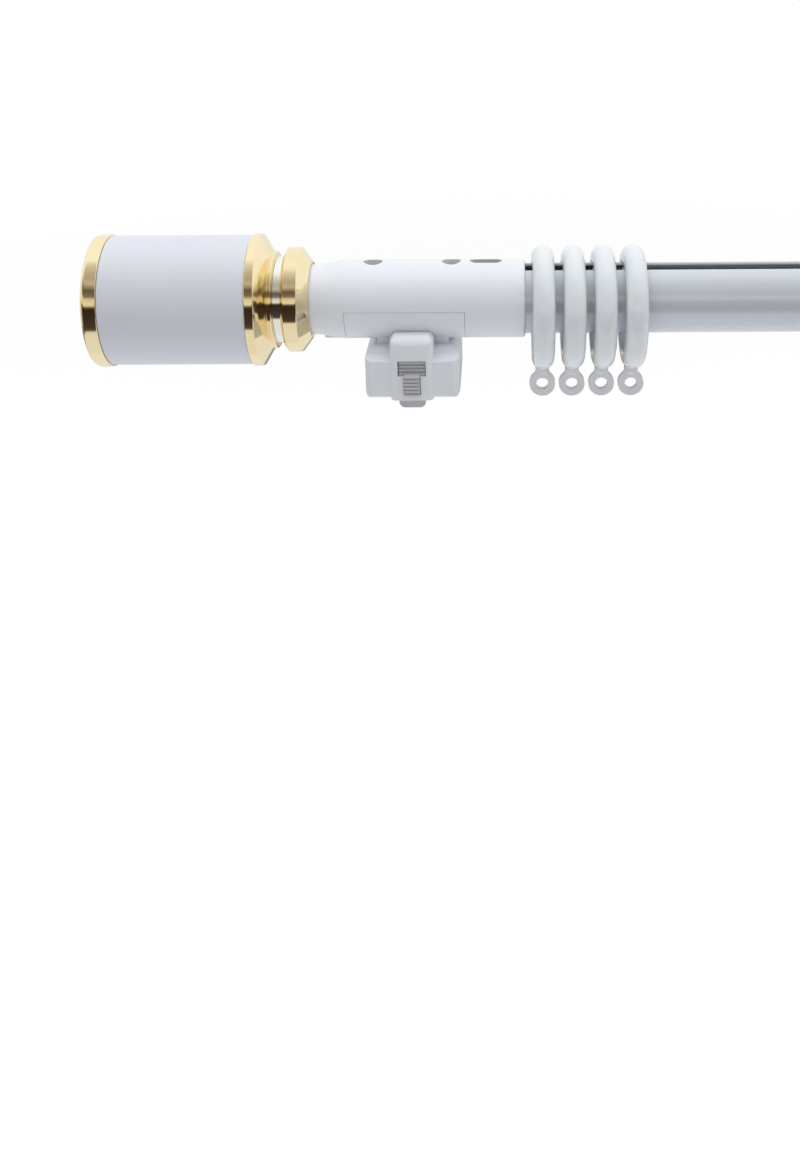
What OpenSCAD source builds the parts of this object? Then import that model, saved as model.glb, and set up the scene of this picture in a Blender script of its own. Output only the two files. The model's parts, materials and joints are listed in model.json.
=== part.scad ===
// Electric curtain track of the pole type: a slotted aluminium rod with a belt inside, a drive end with
// a bayonet seat for a tube motor, a return end with the idler, two finials and four rings.
// X runs along the rod towards the return end, -Y faces the room and Z is up.
// The origin is on the drive axis, at the mouth of the motor shaft bore.

/* [Rod] */
// Outside diameter of the rod
rod_d = 35; // [31:0.5:39]
// Wall of the rod
rod_wall = 1.8; // [1.4:0.1:2.2]
// Width of the slots along the top and the bottom of the rod
slot_w = 11; // [9.5:0.25:12.5]
// Thickness of the web between the two channels of the rod
web_t = 2; // [1.5:0.1:2.4]
// Length of rod between the two end housings
rod_clear = 600; // [400:10:1600]

/* [End housings] */
// Wall of an end housing round the rod
housing_wall = 1.7; // [1.4:0.1:3]
// Diameter of the end that the finial ring holds
housing_end_d = 34.6; // [31:0.2:38]
// Reach of the housing from the drive axis towards the rod
housing_front = 55; // [50:0.2:64]
// Reach of the housing from the drive axis towards the finial
housing_back = 51.7; // [46:0.1:56]
// Length of the flare behind the finial ring
flare_len = 15; // [10:0.5:16]
// Depth of the rod's seat in the housing
rod_seat = 27.4; // [26:0.2:33]
// Length of the long slots through the housing wall
long_slot_len = 15.4; // [12:0.1:17]
// Width of the long slots
long_slot_w = 6; // [4:0.1:8]
// Distance of the long slots from the drive axis
long_slot_x = 36; // [35.8:0.1:38]
// Distance of the cover screws from the drive axis
cover_screw_x = 19.1; // [18.5:0.1:19.5]
// Diameter of the counterbores for the cover screws
cover_bore_d = 9.2; // [8.4:0.1:10]

/* [Motor coupling] */
// Width of the motor plate across its bulged sides
plate_size = 47.4; // [45.6:0.2:49]
// Corner radius of the motor plate
plate_corner = 7; // [6:0.5:8]
// Bulge of each side of the motor plate
plate_bulge = 1.2; // [0.6:0.1:1.6]
// Distance from the rod axis down to the face of the motor plate
plate_drop = 44; // [40:0.2:49]
// Thickness of the motor plate at its edge
plate_t = 11.6; // [11:0.1:12.5]
// Opening of the bayonet seat
seat_d = 34.8; // [31:0.1:38]
// Depth of the bayonet seat
seat_depth = 8.4; // [7.8:0.1:8.8]
// Diameter across the two bayonet lugs
lug_gap_d = 26.4; // [25:0.1:27]
// Thickness of the bayonet ring
lug_t = 2.5; // [2:0.1:3]
// Width of the bayonet ring's rim round the seat
bayonet_rim = 1.4; // [1:0.1:2]
// Diameter of the motor shaft bore
shaft_bore_d = 10.2; // [9:0.1:11.4]
// Length of the motor shaft bore
shaft_bore_len = 6; // [5:0.1:6.4]
// Depth of the boss rim below the plate face
boss_recess = 3; // [2:0.1:4]
// Distance between the plate screws, on a square
plate_screw_pitch = 34.8; // [34.4:0.1:35]
// Diameter of the counterbores for the plate screws
plate_bore_d = 6.9; // [6:0.1:7]
// Width across the flats of the drive socket
socket_flats = 5.6; // [5:0.1:6]

/* [Latch] */
// Width of the latch tower
tower_w = 21; // [19:0.2:22]
// Wall between the bayonet ring and the latch
latch_web = 0.8; // [0.6:0.1:2]
// Height of the latch tower above its spring
tower_roof = 2.8; // [2:0.1:5]
// Width of the latch bolt
bolt_w = 13; // [12:0.1:13.4]
// Thickness of the latch bolt
bolt_t = 4; // [3.6:0.1:4.2]
// Reach of the latch bolt below the plate face
bolt_reach = 4; // [3:0.1:4.2]
// Travel of the latch
latch_travel = 4.3; // [3.4:0.1:4.4]
// Width of the thumb tab
tab_w = 7.6; // [6:0.1:8]
// Pitch of the grip ribs
rib_pitch = 1.85; // [1.6:0.05:1.95]

/* [Rings] */
// Inside diameter of a ring
ring_bore = 45; // [44:0.5:48]
// Radial thickness of a ring
ring_t = 8.25; // [8:0.25:9]
// Width of a ring
ring_w = 10.75; // [9:0.25:11]
// Gap between the end housing and the first ring
ring_gap = 3.45; // [0.5:0.05:20]
// Distance between the rings when they are drawn together
ring_pitch = 14.8; // [13.5:0.05:20]
// Outside diameter of the hook eye
eye_d = 12.9; // [11:0.1:13.4]
// Hole in the hook eye
eye_bore = 6.2; // [4:0.1:6.4]
// Width of the hook eye's neck
eye_neck_w = 7; // [6.4:0.1:8]
// Thickness of the hook eye
eye_t = 3.5; // [3:0.1:4]
// Distance from the ring's lowest point down to the middle of the hook eye
eye_drop = 9.3; // [9:0.1:11]

/* [Belt drive] */
// Pitch of the belt teeth
tooth_pitch = 5; // [4:0.5:6]
// Width of the belt
belt_w = 6; // [5:0.5:6.5]
// Thickness of the back of the belt
belt_back = 0.9; // [0.7:0.1:1]
// Height of the belt teeth
tooth_h = 1.2; // [1:0.1:1.3]
// Distance from the rod axis up to the lower edge of the belt
belt_lift = 3.5; // [3.4:0.1:3.6]

/* [Finials] */
// Outside diameter of the barrel
barrel_d = 63.6; // [56:0.2:70]
// Length of the barrel
barrel_len = 69.4; // [40:0.2:90]
// Wall of the barrel
barrel_wall = 2.5; // [1.5:0.1:4]
// How far the end cap and the flange stand proud of the barrel
rim_proud = 0.7; // [0.4:0.1:1.5]
// Width of the end cap
cap_w = 7.7; // [6:0.1:12]
// Width of the flange rim
flange_rim = 4.3; // [3:0.1:8]
// Length of the flange cone
flange_cone = 7.2; // [4:0.1:9]
// Diameter of the neck band
neck_d = 42.6; // [40:0.2:44]
// Width of the neck band
neck_w = 3.9; // [2:0.1:6]
// Diameter of the finial ring
collar_d = 51.4; // [48:0.2:54]
// Width of the finial ring
collar_w = 13; // [11:0.1:16]
// Diameter of the spigot
spigot_d = 16; // [15:0.2:16.4]

/* [Clearances] */
// Gap between pieces that move past each other
run_gap = 0.3; // [0.2:0.05:0.4]
// Radial gap of a shaft in its bearing
shaft_gap = 0.05; // [0.02:0.01:0.09]
// Gap between pieces that are seated in each other
seat_gap = 0.1; // [0.05:0.05:0.2]
// Gap of the seam round the lower cover
seam_gap = 0.15; // [0.1:0.05:0.3]

/* [Hidden] */
$fn = 64;

// Heights are counted from the rod axis, which is this far above the origin
axis_h = plate_drop - boss_recess;
overcut = 1;

// Rod and end housings
rod_r = rod_d / 2;
rod_in = rod_r - rod_wall;
housing_r = rod_r + seat_gap + housing_wall;
housing_end_r = housing_end_d / 2;
rod_start = housing_front - rod_seat;
mid_x = housing_front + rod_clear / 2;
idler_x = 2 * mid_x;
rod_len = 2 * (mid_x - rod_start);
mouth_round = 1.2;
flare_steps = 12;
end_len = 4;
flare_start = -housing_back + end_len;
// Step of the arcs in the turned profiles, in degrees
arc_step = 6;

// Belt and pulleys, which have as many teeth as leave room for the belt clamp in the rod
belt_top = belt_lift + belt_w;
foot_rise = 0.9;
foot_low = belt_top + foot_rise;
clamp_wall = 0.9;
clamp_gap = 0.2;
clamp_room = sqrt((rod_in - clamp_gap) * (rod_in - clamp_gap) - foot_low * foot_low);
belt_land = 0.25;
pulley_room = clamp_room - clamp_wall - run_gap - belt_back + belt_land;
pulley_teeth = floor(2 * PI * pulley_room / tooth_pitch);
pitch_r = pulley_teeth * tooth_pitch / (2 * PI);
belt_in = pitch_r - belt_land;
belt_out = belt_in + belt_back;
belt_end_gap = 8;
pulley_tip = belt_in - run_gap;
pulley_root = pulley_tip - tooth_h;
flange_lip = 1;
flange_r = belt_out + flange_lip;
flange_t = 0.7;
cog_root = 0.52 * tooth_pitch;
cog_tip = 0.28 * tooth_pitch;
cog_sink = 1;
pulley_low = belt_lift - run_gap - flange_t;
pulley_high = belt_top + run_gap + flange_t;
pulley_bore = 4;
shaft_hole_r = pulley_bore + 0.4;
chamber_gap = 1;
chamber_y = flange_r + chamber_gap;
chamber_low = pulley_low - 1.6;
chamber_high = pulley_high + 1.8;
chamber_back = -flange_r - 1.8;
post_r = 3.8;

// Motor coupling
face_z = -plate_drop;
parting_z = face_z + plate_t;
floor_z = face_z + seat_depth;
trough_z = floor_z + 2.4;
bayonet_r = seat_d / 2 + bayonet_rim;
dimple_turn = 61;
dimple_at = seat_d / 2 - 1.2;
dimple_r = 1.1;
dimple_pin = 0.5;
dimple_t = 0.3;
spigot_z = parting_z + 2;
plate_spigot_r = seat_d / 2;
body_gap = 0.1;
body_top = -housing_r - body_gap;
body_draft = 0.8;
body_low_round = 4;
body_high_round = 8;
ledge_low = parting_z + 7.9;
ledge_high = ledge_low + 1.8;
ledge_round = 1;
shoulder_y = plate_size / 2 - 6.7;
neck_x = plate_size / 2 - 6.2;
neck_y = 10;
neck_lap = 4;
plate_screw_r = 1.45;
plate_head_r = 2.4;
plate_head_t = 1.8;
plate_head_z = face_z + 6;
plate_screw_top = ledge_low - 3.8;
slot_mid_r = seat_d / 2 - 3.5;
slot_half = 1.6;
blind_slot_t = 1.7;
blind_mid = 31;
blind_span = 13.5;
open_rib = 2;
open_span = 27;
peg_hole_r = 1.5;

// Drive shaft and its bearings: the socket is wider than the bore, so that the plate carries it
socket_lip = 0.5;
socket_r = shaft_bore_d / 2 + socket_lip;
socket_mouth = -axis_h + shaft_bore_len + run_gap;
socket_top = parting_z + 6.4;
socket_clear = 1;
socket_depth = 7;
socket_hole_r = 3.7;
journal_r = 3;
journal_top = chamber_high + 2.8;
bush_wall = 1;
bush_r = socket_r + bush_wall;
bush_flange_r = plate_spigot_r - 0.8;
bush_flange_t = 1.5;
upper_bush_r = 6;
upper_bush_h = 3.2;
upper_bush_lip = 1;

// Boss round the shaft bore
boss_rim_r = shaft_bore_d / 2 + 1.8;
boss_base_r = bush_r + seat_gap + 1.3;
trough_r = boss_base_r + 2.9;
rim_soft = 1.2;
rim_cut = 0.35;

// Latch, which stands outside the bayonet ring
channel_x = bolt_w / 2 + run_gap;
channel_back = -bayonet_r - seat_gap - latch_web;
bolt_back = channel_back - run_gap;
bolt_front = bolt_back - bolt_t;
channel_front = bolt_front - run_gap;
tower_wall = 1.2;
tower_front = -channel_front + tower_wall;
tower_depth = 11;
tower_side_round = 3.6;
tower_top_round = 5.2;
tower_foot_round = 0.75;
window_low = parting_z + 0.9;
window_high = window_low + 7.9;
slider_top = window_high - 0.3;
channel_top = slider_top + latch_travel + 1.3;
bolt_round = 3;
slider_round = 0.5;
tab_low = face_z + 3.2;
tab_high = window_low + 0.9;
tab_proud = 2.5;
rib_first = 0.4;
grip_ribs = 4;
tab_ribs = 5;
rib_t = 0.8;
spring_r = 1.9;
spring_wire = 0.7;
spring_top = channel_top + 3.7;
spring_y = (bolt_front + bolt_back) / 2;
tower_top = spring_top + tower_roof;
mould_x = 1.6;
mould_w = 0.3;
mould_t = 0.2;
mould_len = 6;

// Lower cover, whose edges show as a seam round the housing
cover_back = flare_start + flare_len + 0.2;
cover_front = rod_start - 1.9;
cover_top = chamber_low - 1.7;

// Cover screws
cover_head_z = chamber_high + 1.2;
cover_head_r = 3.8;
cover_head_t = 3;
cover_screw_r = 2;
cover_screw_end = cover_top - 8.6;

// Cross recess of the screws, as shares of the head's radius
cross_reach = 1.3;
cross_width = 0.32;
cross_depth = 1.1;

// Rings: the bore hangs on the two edges of the rod's top slot
ring_in = ring_bore / 2;
slot_edge_z = sqrt(rod_r * rod_r - slot_w * slot_w / 4);
ring_z = slot_edge_z - sqrt((ring_in - run_gap) * (ring_in - run_gap) - slot_w * slot_w / 4);
ring_low = ring_z - ring_in - ring_t;
ring_count = 4;
inner_round = 1.2;
eye_z = ring_low - eye_drop;
stem_r = 1.5;
stem_head_r = 2.7;
stem_head_t = 1.5;
stem_seat_z = ring_z - ring_in - 2.6;
eye_collar_r = eye_neck_w / 2;
eye_lap = 0.5;
eye_soft = 3;
eye_bite = 0.15;
eye_inset = 0.3;
web_x = eye_collar_r - eye_inset + eye_soft;
web_reach = eye_d / 2 + eye_soft - eye_bite;
web_z = sqrt(web_reach * web_reach - web_x * web_x);
collar_low = eye_z + web_z - eye_lap;

// Runners, whose feet are held under the lips of the top slot
foot_y = slot_w / 2 + 1.7;
foot_high = sqrt(rod_in * rod_in - foot_y * foot_y) - run_gap;
foot_x = 5;
foot_round = 2;
neck_half_y = slot_w / 2 - 0.5;
neck_half_x = 4;
neck_top = ring_z + sqrt(ring_in * ring_in - neck_half_y * neck_half_y) - seat_gap;
tongue_x = 2.9;
tongue_y = 3.4;
tongue_top = ring_z + ring_in + 3;

// Belt clamp on the lead runner
clamp_x = 6;
clamp_out = belt_out + run_gap + clamp_wall;
clamp_in = belt_in - tooth_h - run_gap - 2;

// Return end
carrier_y = chamber_y - 1;
carrier_wall = 3;
carrier_back = belt_out + run_gap + 1;
axle_r = 3;
tension_r = 2;
tension_z = 4.5;
spigot_reach = 22.7;
spigot_in = -housing_back + spigot_reach;
tension_end = -spigot_in - 0.6;
tension_head_r = 3;
tension_head_t = 2.4;
chamber_reach = tension_end - 6.4;
axle_gap = 0.2;

// Finials: places along X, from the housing outwards
spigot_r = spigot_d / 2;
spigot_floor = 3;
set_screw_reach = 14.2;
set_screw_x = -housing_back + set_screw_reach;
set_screw_r = 2;
set_screw_sink = 3;
pad_z = -housing_end_r - 1.4;
pad_start = 7.9;
pad_end = 17.2;
pad_back = -housing_back + pad_start;
pad_front = -housing_back + pad_end;
pad_half = 4.2;
pad_lap = 5;
collar_front = -housing_back + 2.4;
collar_back = collar_front - collar_w;
collar_seat = -housing_back;
neck_back = collar_back - neck_w;
cone_back = neck_back - flange_cone;
barrel_front = cone_back - flange_rim;
barrel_back = barrel_front - barrel_len;
cap_back = barrel_back - cap_w;
rim_r = barrel_d / 2 + rim_proud;
barrel_in = barrel_d / 2 - barrel_wall;
collar_r = collar_d / 2;
locate_w = 4;
locate_wall = 2.4;
bolt_r = 3;
bolt_head_r = 5.5;
bolt_head_t = 3.5;
bolt_stop = 8;
cap_thread = 3;
cap_edge = 2.5;
flange_bead = 0.8;
flange_step = 1;
collar_edge = 2.6;
collar_step = 1;
collar_slope = 5.4;
collar_lip = 0.6;

// Moves a shape from the rod axis to its place above the origin
module at_axis() translate([0, 0, axis_h]) children();

// Turns a profile of [radius, x] points round the rod axis
module turn_x(points) rotate([0, 90, 0]) rotate_extrude() polygon(points);

// Solid or cut along X between two places
module bar_x(r, x0, x1) translate([x0, 0, 0]) rotate([0, 90, 0]) cylinder(r = r, h = x1 - x0);

// Solid or cut along Z between two heights
module bar_z(r, z0, z1) translate([0, 0, z0]) cylinder(r = r, h = z1 - z0);

// Box given by its two corners
module box(low, high) translate(low) cube(high - low);

// Puts a shape of the drive end at the return end, mirrored
module far_end() translate([idler_x, 0, 0]) mirror([1, 0, 0]) children();

// Rectangle with one radius at its lower corners and one at its upper corners
module round_rect(x0, x1, y0, y1, r_low, r_high) {
    translate([x0, y0 + r_low]) square([x1 - x0, y1 - y0 - r_low - r_high]);
    translate([x0 + r_low, y0]) square([x1 - x0 - 2 * r_low, r_low + overcut]);
    translate([x0 + r_high, y1 - r_high - overcut]) square([x1 - x0 - 2 * r_high, r_high + overcut]);
    for (x = [x0 + r_low, x1 - r_low]) translate([x, y0 + r_low]) circle(r = r_low);
    for (x = [x0 + r_high, x1 - r_high]) translate([x, y1 - r_high]) circle(r = r_high);
}

// Slot with round ends along X, cut through from z0 to z1
module long_slot(len, w, z0, z1) translate([0, 0, z0]) linear_extrude(z1 - z0) {
    square([len - w, w], center = true);
    for (side = [-1, 1]) translate([side * (len - w) / 2, 0]) circle(d = w);
}

// Point at an angle about the drive axis
function polar(r, a) = [r * cos(a), r * sin(a)];

// Ring slot between two angles about the drive axis; ends tells which of its ends are round
module arc_slot(from, to, z0, z1, ends) translate([0, 0, z0]) linear_extrude(z1 - z0) {
    intersection() {
        difference() {
            circle(r = slot_mid_r + slot_half);
            circle(r = slot_mid_r - slot_half);
        }
        polygon([[0, 0], polar(seat_d, from), polar(2 * seat_d, (from + to) / 2), polar(seat_d, to)]);
    }
    for (i = [0, 1]) if (ends[i]) translate(polar(slot_mid_r, [from, to][i])) circle(r = slot_half);
}

// The slotted rod
module rod_profile() difference() {
    circle(r = rod_r);
    difference() {
        circle(r = rod_in);
        square([rod_d, web_t], center = true);
    }
    for (side = [-1, 1]) translate([0, side * rod_r]) square([slot_w, rod_r], center = true);
}

module rod() color("white") at_axis() translate([rod_start, 0, 0]) rotate([90, 0, 90])
    linear_extrude(rod_len) rod_profile();

// Belt: two toothed runs joined by a bend round each pulley
tooth_root = 0.6 * tooth_pitch;
tooth_tip = 0.36 * tooth_pitch;
tooth_count = floor((idler_x - 2 * belt_end_gap - tooth_root) / tooth_pitch) + 1;
tooth_start = (idler_x - (tooth_count - 1) * tooth_pitch) / 2;
tooth_shape = [[-tooth_root / 2, 0], [-tooth_tip / 2, tooth_h], [tooth_tip / 2, tooth_h], [tooth_root / 2, 0]];

module belt_run() polygon(concat(
    [[0, belt_out], [0, belt_in]],
    [for (i = [0 : tooth_count - 1], p = tooth_shape) [tooth_start + i * tooth_pitch + p.x, belt_in - p.y]],
    [[idler_x, belt_in], [idler_x, belt_out]]
));

module belt_bend() rotate([0, 0, 90]) rotate_extrude(angle = 180)
    translate([belt_in, 0]) square([belt_back, belt_w]);

module belt() color("dimgray") at_axis() translate([0, 0, belt_lift]) {
    linear_extrude(belt_w) belt_run();
    mirror([0, 1, 0]) linear_extrude(belt_w) belt_run();
    belt_bend();
    translate([idler_x, 0, 0]) mirror([1, 0, 0]) belt_bend();
}

// Shape shared by the drive housing and the return housing
function flare(t) = [
    housing_end_r + (housing_r - housing_end_r) * (1 - cos(180 * t)) / 2,
    flare_start + flare_len * t
];

module housing_solid() {
    turn_x(concat(
        [[0, -housing_back], [housing_end_r, -housing_back]],
        [for (i = [0 : flare_steps]) flare(i / flare_steps)],
        [for (a = [0 : arc_step : 90]) [
            housing_r - mouth_round * (1 - cos(a)),
            housing_front - mouth_round * (1 - sin(a))
        ]],
        [[0, housing_front]]
    ));
    box([pad_back, -pad_half, pad_z], [pad_front, pad_half, pad_z + pad_lap]);
}

module housing_cuts() {
    bar_x(rod_r + seat_gap, rod_start, housing_front + overcut);
    bar_x(spigot_r + seat_gap, -housing_back - overcut, spigot_in);
    translate([set_screw_x, 0, 0]) bar_z(set_screw_r + seat_gap, -housing_r - overcut, -spigot_r / 2);
    translate([long_slot_x, 0, 0]) long_slot(long_slot_len, long_slot_w, -housing_r - overcut, housing_r + overcut);
}

module drive_housing() color("whitesmoke") at_axis() difference() {
    housing_solid();
    housing_cuts();
    box([cover_back, -housing_r, -housing_r - overcut], [cover_front, housing_r, cover_top]);
    difference() {
        box([chamber_back, -chamber_y, chamber_low], [rod_start + overcut, chamber_y, chamber_high]);
        translate([cover_screw_x, 0, 0]) bar_z(post_r, chamber_low, chamber_high);
    }
    bar_z(shaft_hole_r, cover_top - overcut, chamber_low + overcut);
    bar_z(upper_bush_r + seat_gap, chamber_high - overcut, chamber_high + upper_bush_h + seat_gap);
    for (side = [-1, 1]) translate([side * cover_screw_x, 0, 0]) {
        bar_z(cover_bore_d / 2, cover_head_z, housing_r + overcut);
        bar_z(cover_screw_r + seat_gap, cover_top - overcut, cover_head_z + overcut);
    }
}

module housing_screws() color("silver") at_axis() for (side = [-1, 1])
    translate([side * cover_screw_x, 0, 0]) difference() {
        union() {
            bar_z(cover_screw_r, cover_screw_end, cover_head_z + seat_gap);
            bar_z(cover_head_r, cover_head_z, cover_head_z + cover_head_t);
        }
        cross_recess(cover_head_z + cover_head_t, cover_head_r);
    }

// Cross recess in a screw head
module cross_recess(z, r) for (turn = [0, 90]) rotate([0, 0, turn]) translate([0, 0, z])
    cube([cross_reach * r, cross_width * r, 2 * cross_depth], center = true);

// Outline of the motor plate: a rounded square with bulged sides
module plate_outline() {
    half = plate_size / 2;
    bulge_r = (half * half + plate_bulge * plate_bulge) / (2 * plate_bulge);
    intersection() {
        round_rect(-half, half, -half, half, plate_corner, plate_corner);
        intersection_for(turn = [0 : 90 : 270]) rotate(turn) translate([bulge_r - half, 0])
            circle(r = bulge_r, $fn = 360);
    }
}

// Front view of the coupling body: the sides of the plate half draw in towards its face
module body_front() {
    half = plate_size / 2;
    lean = atan2(body_draft, parting_z - face_z);
    corner = half - body_draft - body_low_round * (1 - sin(lean)) / cos(lean);
    side = corner + body_low_round * cos(lean);
    side_z = face_z + body_low_round * (1 - sin(lean));
    polygon([
        [-corner, face_z], [corner, face_z], [side, side_z], [half, parting_z],
        [-half, parting_z], [-side, side_z]
    ]);
    for (x = [-corner, corner]) translate([x, face_z + body_low_round]) circle(r = body_low_round);
    translate([-half, parting_z]) square([plate_size, body_top - body_high_round - parting_z]);
    translate([body_high_round - half, parting_z])
        square([plate_size - 2 * body_high_round, body_top - parting_z]);
    for (side = [-1, 1]) translate([side * (half - body_high_round), body_top - body_high_round])
        circle(r = body_high_round);
}

// Side view of the coupling body: a wide foot, a sloped ledge and a narrower shoulder
module body_side() {
    half = plate_size / 2;
    ledge_y = half - ledge_round;
    round_rect(-half, half, face_z, ledge_low, body_low_round, ledge_round);
    round_rect(-shoulder_y, shoulder_y, face_z + body_low_round, body_top, ledge_round, body_high_round);
    polygon([
        [-ledge_y, ledge_low], [ledge_y, ledge_low], [shoulder_y, ledge_high], [-shoulder_y, ledge_high]
    ]);
}

module coupling_form() {
    span = plate_size + 2 * overcut;
    intersection() {
        translate([0, 0, face_z - overcut]) linear_extrude(body_top - face_z + 2 * overcut) plate_outline();
        rotate([90, 0, 0]) linear_extrude(span, center = true) body_front();
        rotate([90, 0, 90]) linear_extrude(span, center = true) body_side();
    }
    tower_form();
}

// Tower that guides the latch, in front of the coupling body
module tower_form() {
    half = tower_w / 2;
    tower_back = tower_depth - tower_front;
    intersection() {
        translate([0, 0, face_z]) linear_extrude(tower_top - face_z)
            round_rect(-half, half, -tower_front, tower_back, tower_side_round, tower_foot_round);
        rotate([90, 0, 0]) linear_extrude(2 * tower_front, center = true)
            round_rect(-half, half, face_z, tower_top, tower_foot_round, tower_side_round);
        rotate([90, 0, 90]) linear_extrude(tower_w + 2 * overcut, center = true)
            round_rect(-tower_front, tower_back + tower_top_round, face_z, tower_top, tower_foot_round, tower_top_round);
    }
}

// Channel of the latch bolt, open to the plate face
module latch_channel() {
    box([-channel_x, channel_front, face_z - overcut], [channel_x, channel_back, channel_top]);
    box(
        [-tab_w / 2 - run_gap, -tower_front - overcut, tab_low - run_gap],
        [tab_w / 2 + run_gap, channel_front + overcut, window_low + overcut]
    );
    box(
        [-channel_x, -tower_front - overcut, window_low],
        [channel_x, channel_front + overcut, window_high]
    );
    translate([0, spring_y, 0]) bar_z(spring_r + run_gap, channel_top - overcut, spring_top);
}

module plate_screw_places() for (x = [-1, 1], y = [-1, 1])
    translate([x * plate_screw_pitch / 2, y * plate_screw_pitch / 2, 0]) children();

// Lower cover with the upper half of the motor coupling and the latch tower, in one moulding
module coupling_housing() color("whitesmoke") at_axis() difference() {
    union() {
        intersection() {
            bar_x(housing_r, cover_back + seam_gap, cover_front - seam_gap);
            box([cover_back, -housing_r, -housing_r - overcut], [cover_front, housing_r, cover_top - seam_gap]);
        }
        box([-neck_x, -neck_y, body_top - overcut], [neck_x, neck_y, body_top + neck_lap]);
        intersection() {
            coupling_form();
            box([-plate_size, -plate_size, parting_z], [plate_size, plate_size, 0]);
        }
    }
    bar_x(spigot_r + seat_gap, -housing_back, spigot_in);
    bar_z(plate_spigot_r + seat_gap, parting_z - overcut, spigot_z + bush_flange_t + run_gap);
    bar_z(socket_r + socket_clear, parting_z, socket_top + socket_clear);
    bar_z(shaft_hole_r, socket_top, cover_top + overcut);
    latch_channel();
    box(
        [mould_x - mould_w / 2, -tower_front - overcut, window_high - overcut],
        [mould_x + mould_w / 2, -tower_front + mould_t, window_high + mould_len]
    );
    plate_screw_places() bar_z(plate_screw_r + seat_gap, parting_z - overcut, plate_screw_top + seat_gap);
    for (side = [-1, 1]) translate([side * cover_screw_x, 0, 0])
        bar_z(cover_screw_r + seat_gap, cover_screw_end - seat_gap, cover_top + overcut);
}

// Hollow of the bayonet seat: the boss stands in its middle
module seat_hollow() rotate_extrude() polygon([
    [0, -axis_h], [boss_rim_r - rim_soft, -axis_h], [boss_rim_r - rim_cut, -axis_h + rim_cut],
    [boss_rim_r, -axis_h + rim_soft], [boss_base_r, trough_z], [trough_r, trough_z], [trough_r, floor_z],
    [seat_d / 2, floor_z], [seat_d / 2, face_z - overcut], [0, face_z - overcut]
]);

module coupling_plate() color("whitesmoke") at_axis() difference() {
    union() {
        intersection() {
            coupling_form();
            box([-plate_size, -plate_size, face_z - overcut], [plate_size, plate_size, parting_z]);
        }
        bar_z(plate_spigot_r, parting_z - overcut, spigot_z);
    }
    seat_hollow();
    bar_z(bayonet_r + seat_gap, face_z - overcut, face_z + lug_t);
    bar_z(shaft_bore_d / 2, -axis_h - overcut, -axis_h + shaft_bore_len);
    bar_z(bush_r + seat_gap, -axis_h + shaft_bore_len, spigot_z + overcut);
    for (turn = [90, 270]) {
        arc_slot(turn - open_span, turn - open_rib, floor_z - overcut, spigot_z + overcut, [true, false]);
        arc_slot(turn + open_rib, turn + open_span, floor_z - overcut, spigot_z + overcut, [false, true]);
    }
    for (turn = [0, 180], side = [-1, 1])
        arc_slot(
            turn + side * blind_mid - blind_span, turn + side * blind_mid + blind_span,
            floor_z - overcut, floor_z + blind_slot_t, [true, true]
        );
    for (side = [-1, 1]) translate([side * slot_mid_r, 0, 0])
        bar_z(peg_hole_r, floor_z - overcut, floor_z + blind_slot_t);
    latch_channel();
    plate_screw_places() {
        bar_z(plate_bore_d / 2, face_z - overcut, plate_head_z);
        bar_z(plate_screw_r + seat_gap, plate_head_z - overcut, parting_z + overcut);
    }
}

// Ring with the two bayonet lugs, flush in the plate face
module bayonet_ring() color("white") at_axis() difference() {
    bar_z(bayonet_r, face_z, face_z + lug_t);
    bar_z(lug_gap_d / 2, face_z - overcut, face_z + lug_t + overcut);
    for (turn = [0, 180]) rotate([0, 0, turn - 45]) translate([0, 0, face_z - overcut])
        rotate_extrude(angle = 90) square([seat_d / 2, lug_t + 2 * overcut]);
    for (turn = [0, 180]) rotate([0, 0, turn - dimple_turn]) translate([dimple_at, 0, 0]) difference() {
        bar_z(dimple_r, face_z - overcut, face_z + dimple_t);
        bar_z(dimple_pin, face_z - overcut, face_z + dimple_t + overcut);
    }
}

module plate_screws() color("silver") at_axis() plate_screw_places() difference() {
    union() {
        bar_z(plate_screw_r, plate_head_z - seat_gap, plate_screw_top);
        bar_z(plate_head_r, plate_head_z - plate_head_t, plate_head_z);
    }
    cross_recess(plate_head_z - plate_head_t, plate_head_r);
}

// Latch bolt with its ribbed grip and thumb tab
module latch() color("darkgray") at_axis() difference() {
    union() {
        translate([0, bolt_back, 0]) rotate([90, 0, 0]) linear_extrude(bolt_t)
            round_rect(-bolt_w / 2, bolt_w / 2, face_z - bolt_reach, slider_top, bolt_round, slider_round);
        box([-tab_w / 2, -tower_front - tab_proud, tab_low], [tab_w / 2, bolt_front + overcut, tab_high]);
    }
    for (i = [0 : grip_ribs - 1])
        translate([0, bolt_front, window_high - rib_first - i * rib_pitch]) rib_cut(bolt_w);
    for (i = [0 : tab_ribs - 1])
        translate([0, -tower_front - tab_proud, window_low - rib_first - i * rib_pitch]) rib_cut(tab_w);
}

// Groove between two grip ribs
module rib_cut(w) cube([w + 2 * overcut, 2 * rib_t, rib_pitch / 2], center = true);

module latch_spring() color("silver") at_axis() translate([0, spring_y, 0]) difference() {
    bar_z(spring_r, slider_top + seat_gap, spring_top - seat_gap);
    bar_z(spring_r - spring_wire, slider_top, spring_top);
}

// Drive shaft with the double-D socket that the motor turns
module drive_shaft() color("darkkhaki") at_axis() difference() {
    union() {
        bar_z(socket_r, socket_mouth, socket_top);
        bar_z(pulley_bore, socket_top - overcut, pulley_high);
        bar_z(journal_r, pulley_high - overcut, journal_top);
    }
    intersection() {
        bar_z(socket_hole_r, socket_mouth - overcut, socket_mouth + socket_depth);
        cube([socket_flats, 2 * socket_r, 4 * axis_h], center = true);
    }
}

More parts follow.
